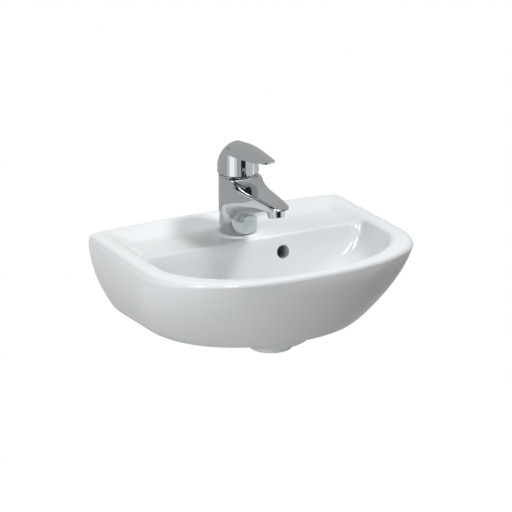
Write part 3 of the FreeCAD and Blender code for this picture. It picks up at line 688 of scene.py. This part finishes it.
# %% Materials
# Each finish: name, light and dark tone, lowest and highest roughness, the three scales, and the
# strength and depth of the bump.
FINISHES = {
    "glazed_china": finish("white_glaze", (0.845, 0.872, 0.884), (0.82, 0.849, 0.864), (0.03, 0.06),
                           (9.0, 14.0, 60.0), (0.02, 0.002)),
    "chrome": finish("polished_chrome", (0.62, 0.646, 0.662), (0.588, 0.613, 0.629), (0.02, 0.05),
                     (40.0, 60.0, 300.0), (0.01, 0.0005), metallic=1.0),
    "brass": finish("turned_brass", (0.72, 0.52, 0.22), (0.58, 0.40, 0.16), (0.22, 0.35),
                    (120.0, 200.0, 900.0), (0.10, 0.0005), metallic=1.0),
    "steel": finish("plain_steel", (0.62, 0.63, 0.64), (0.52, 0.53, 0.54), (0.22, 0.38),
                    (120.0, 180.0, 900.0), (0.10, 0.0005), metallic=1.0),
    "disc_ceramic": finish("lapped_ceramic", (0.90, 0.89, 0.85), (0.84, 0.83, 0.79), (0.20, 0.30),
                           (80.0, 150.0, 600.0), (0.04, 0.0005)),
    "cartridge_plastic": finish("cartridge_plastic", (0.80, 0.81, 0.79), (0.72, 0.73, 0.71), (0.35, 0.50),
                                (80.0, 150.0, 1200.0), (0.15, 0.0005)),
    "white_plastic": finish("mesh_plastic", (0.86, 0.86, 0.84), (0.78, 0.78, 0.76), (0.35, 0.48),
                            (80.0, 150.0, 1200.0), (0.15, 0.0005)),
    "plug_plastic": finish("plug_plastic", (0.035, 0.037, 0.04), (0.025, 0.027, 0.03), (0.30, 0.42),
                           (150.0, 200.0, 1500.0), (0.10, 0.0003)),
    "black_rubber": finish("black_rubber", (0.035, 0.035, 0.036), (0.022, 0.022, 0.023), (0.55, 0.72),
                           (150.0, 250.0, 1500.0), (0.25, 0.0005)),
}
for piece in frame["record"]["subparts"]:
    dress(frame["nodes"][piece["node"]], FINISHES[piece["material_slot"]])
dress(china, FINISHES["glazed_china"])
print("finishes:", sorted(FINISHES))

# %% [markdown]
# The overflow's bore and its duct get a darker grey, which is painted shade for the dim inside of the
# narrow hole.
# It is a second material on the same body, given to the faces that lie on those two bores.

# %% Painted shade in the overflow
SHADE_MARGIN = 0.5 * MM
# The grey of this second finish is painted shade for the dim bore, not a colour of the china.
china.data.materials.append(finish("overflow_painted_shade", (0.46, 0.47, 0.48), (0.40, 0.41, 0.42), (0.6, 0.8),
                                   (60.0, 90.0, 500.0), (0.2, 0.0005)))
duct_reach = DUCT_Y + DUCT_RADIUS - overflow_mouth.y
painted_shade_faces = 0
for face in china.data.polygons:
    middle = Vector(face.center)
    along = (middle - overflow_mouth).dot(overflow_axis)
    off_bore = (middle - overflow_mouth - overflow_axis * along).length
    off_duct = math.hypot(middle.x - OVERFLOW_X, middle.y - DUCT_Y)
    in_bore = OVERFLOW_FLARE / 2 < along < duct_reach and off_bore < OVERFLOW_RADIUS + SHADE_MARGIN
    in_duct = DUCT_FOOT_Z - SHADE_MARGIN < middle.z < OVERFLOW_Z and off_duct < DUCT_RADIUS + SHADE_MARGIN
    if in_bore or in_duct:
        face.material_index = 1
        painted_shade_faces += 1
print("faces of bare clay:", painted_shade_faces)

# %% [markdown]
# ## Light
# The basin is lit by soft, square lamps: two on the left, one on the right and a little behind, one
# low in front and a smaller one high on the right, which throws the tap's shadow over the deck.
# A weak all-round light fills the rest. The background is white only to rays that come straight
# from the camera, off a mirror or through glass, so it adds no light to the object.

# %% World and lamps
AMBIENT, LAMP_DISTANCE = 0.03, 2.6
# Each lamp: name, azimuth and elevation in degrees, side in metres, power in watts.
SOFT_LAMPS = (
    ("left_lamp", -58.0, 16.0, 1.2, 28.0),
    ("side_lamp", -100.0, 30.0, 1.2, 24.0),
    ("back_lamp", 110.0, 50.0, 1.2, 29.0),
    ("top_lamp", 60.0, 60.0, 0.5, 35.0),
    ("low_lamp", -28.0, -25.0, 1.2, 17.0),
)


def add_lamp(name, azimuth, elevation, side, power):
    lamp = bpy.data.lights.new(name, "AREA")
    lamp.shape, lamp.size, lamp.energy = "SQUARE", side, power
    made = add_object(name, lamp)
    made.location = from_aim(math.radians(azimuth), math.radians(elevation), LAMP_DISTANCE)
    point_at(made, AIM)
    made.visible_glossy = False


def seen_directly(tree):
    """Mask of the rays that come from the camera, from a mirror or through glass."""
    path = tree.nodes.new("ShaderNodeLightPath")
    mask = path.outputs["Is Camera Ray"]
    for kind in ("Is Glossy Ray", "Is Transmission Ray"):
        either = tree.nodes.new("ShaderNodeMath")
        either.operation = "MAXIMUM"
        tree.links.new(mask, either.inputs[0])
        tree.links.new(path.outputs[kind], either.inputs[1])
        mask = either.outputs[0]
    return mask


scene.world = bpy.data.worlds.new("studio")
scene.world.use_nodes = True
tree = scene.world.node_tree
level = tree.nodes.new("ShaderNodeMix")
level.inputs["A"].default_value, level.inputs["B"].default_value = AMBIENT, 1.0
tree.links.new(seen_directly(tree), level.inputs["Factor"])
tree.links.new(level.outputs["Result"], tree.nodes["Background"].inputs["Strength"])
tree.nodes["Background"].inputs["Color"].default_value = (1, 1, 1, 1)
for lamp in SOFT_LAMPS:
    add_lamp(*lamp)
print("lamps:", [lamp[0] for lamp in SOFT_LAMPS])

# %% [markdown]
# ## Screens
# Chrome has no look of its own and only mirrors the room. A plain grey room around the basin gives
# it its middle tone. White and dark screens in front of that room make the bands on the skirt, the
# spout and the visor, and two small bright windows make the dashes on the glazed rim.
# Only reflections see the screens, so they neither light the china nor throw shadows.

# %% Screens
# Each screen: name, azimuths and elevations in degrees, radius in metres, strength.
SCREENS = (
    ("grey_room", (-180, 180), (-88, 88), 3.60, 0.50),
    ("pale_right", (19, 110), (-40, 0), 3.55, 0.71),
    ("soft_left", (-90, -76), (-40, -10), 3.50, 0.75),
    ("white_left", (-76, -48), (-40, -10), 3.50, 1.35),
    ("soft_middle", (-48, -34), (-40, -10), 3.50, 0.90),
    ("white_right", (66, 70), (-40, 0), 3.50, 1.70),
    ("dark_front", (-10, 15), (-40, -12.5), 3.45, 0.02),
    ("dark_spout", (-36, 36), (-12.5, -4), 3.45, 0.02),
    ("dark_cap", (-180, -80), (52, 88), 3.50, 0.03),
    ("dark_shoulder", (-148, -120), (4, 52), 3.50, 0.03),
    ("root_dash", (-137, -130), (4, 14), 3.45, 1.60),
    ("tip_dash", (-148, -142), (4, 14), 3.45, 1.60),
    ("white_tip", (-80, 8), (26, 46), 3.50, 1.60),
    ("dark_edge", (-80, 8), (12, 24), 3.50, 0.05),
    ("dark_tip", (10, 60), (14, 42), 3.50, 0.03),
    ("left_window", (-66, -54), (40, 60), 3.40, 22.00),
    ("middle_window", (-24, -12), (40, 60), 3.40, 22.00),
)
SCREEN_STEP = 2


def glow_finish(name, strength):
    material = bpy.data.materials.new(name)
    material.use_nodes = True
    tree = material.node_tree
    tree.nodes.clear()
    glow, out = tree.nodes.new("ShaderNodeEmission"), tree.nodes.new("ShaderNodeOutputMaterial")
    glow.inputs["Strength"].default_value = strength
    tree.links.new(glow.outputs[0], out.inputs["Surface"])
    return material


def add_screen(name, across, up, radius, strength):
    """Part of a sphere around the basin that only reflections see."""
    turns, rises = (np.radians(np.linspace(low, high, int((high - low) / SCREEN_STEP) + 1))
                    for low, high in (across, up))
    points = [tuple(from_aim(turn, rise, radius)) for rise in rises for turn in turns]
    wide = len(turns)
    starts = [r * wide + c for r in range(len(rises) - 1) for c in range(wide - 1)]
    mesh = bpy.data.meshes.new(name)
    mesh.from_pydata(points, [], [(k, k + 1, k + wide + 1, k + wide) for k in starts])
    made = add_object(name, mesh)
    dress(made, glow_finish(name, strength))
    made.visible_camera = made.visible_diffuse = False
    made.visible_transmission = made.visible_shadow = False


for screen in SCREENS:
    add_screen(*screen)
print("screens:", [screen[0] for screen in SCREENS])

# %% [markdown]
# ## Floor
# The basin hangs at its usual height over a pale round floor. The floor glows to the camera, so that
# it runs into the white background, and still takes the object's shadow. Seen from below it is
# clear, for views of the underside.

# %% Floor
RIM_HEIGHT, FLOOR_RADIUS = 0.85, 1.3
FLOOR_GREY, FLOOR_ROUGH, FLOOR_GLOW = 0.30, 0.9, 0.90
made = bmesh.new()
bmesh.ops.create_circle(made, cap_ends=True, segments=TURNS, radius=FLOOR_RADIUS)
mesh = bpy.data.meshes.new("floor")
made.to_mesh(mesh)
made.free()
floor = add_object("floor", mesh)
floor.location = (AIM.x, AIM.y, RIM_Z - RIM_HEIGHT)
floor_finish = bpy.data.materials.new("pale_floor")
floor_finish.use_nodes = True
tree = floor_finish.node_tree
shader, out = tree.nodes["Principled BSDF"], tree.nodes["Material Output"]
shader.inputs["Base Color"].default_value = (FLOOR_GREY, FLOOR_GREY, FLOOR_GREY, 1)
shader.inputs["Roughness"].default_value = FLOOR_ROUGH
shader.inputs["Specular IOR Level"].default_value = 0.0
shader.inputs["Emission Color"].default_value = (1, 1, 1, 1)
scaled = tree.nodes.new("ShaderNodeMath")
scaled.operation = "MULTIPLY"
scaled.inputs[1].default_value = FLOOR_GLOW
tree.links.new(seen_directly(tree), scaled.inputs[0])
tree.links.new(scaled.outputs[0], shader.inputs["Emission Strength"])
under = tree.nodes.new("ShaderNodeNewGeometry")
clear = tree.nodes.new("ShaderNodeBsdfTransparent")
either = tree.nodes.new("ShaderNodeMixShader")
tree.links.new(under.outputs["Backfacing"], either.inputs[0])
tree.links.new(shader.outputs[0], either.inputs[1])
tree.links.new(clear.outputs[0], either.inputs[2])
tree.links.new(either.outputs[0], out.inputs["Surface"])
dress(floor, floor_finish)
floor.visible_glossy = False
print("floor at", round(floor.location.z, 3))
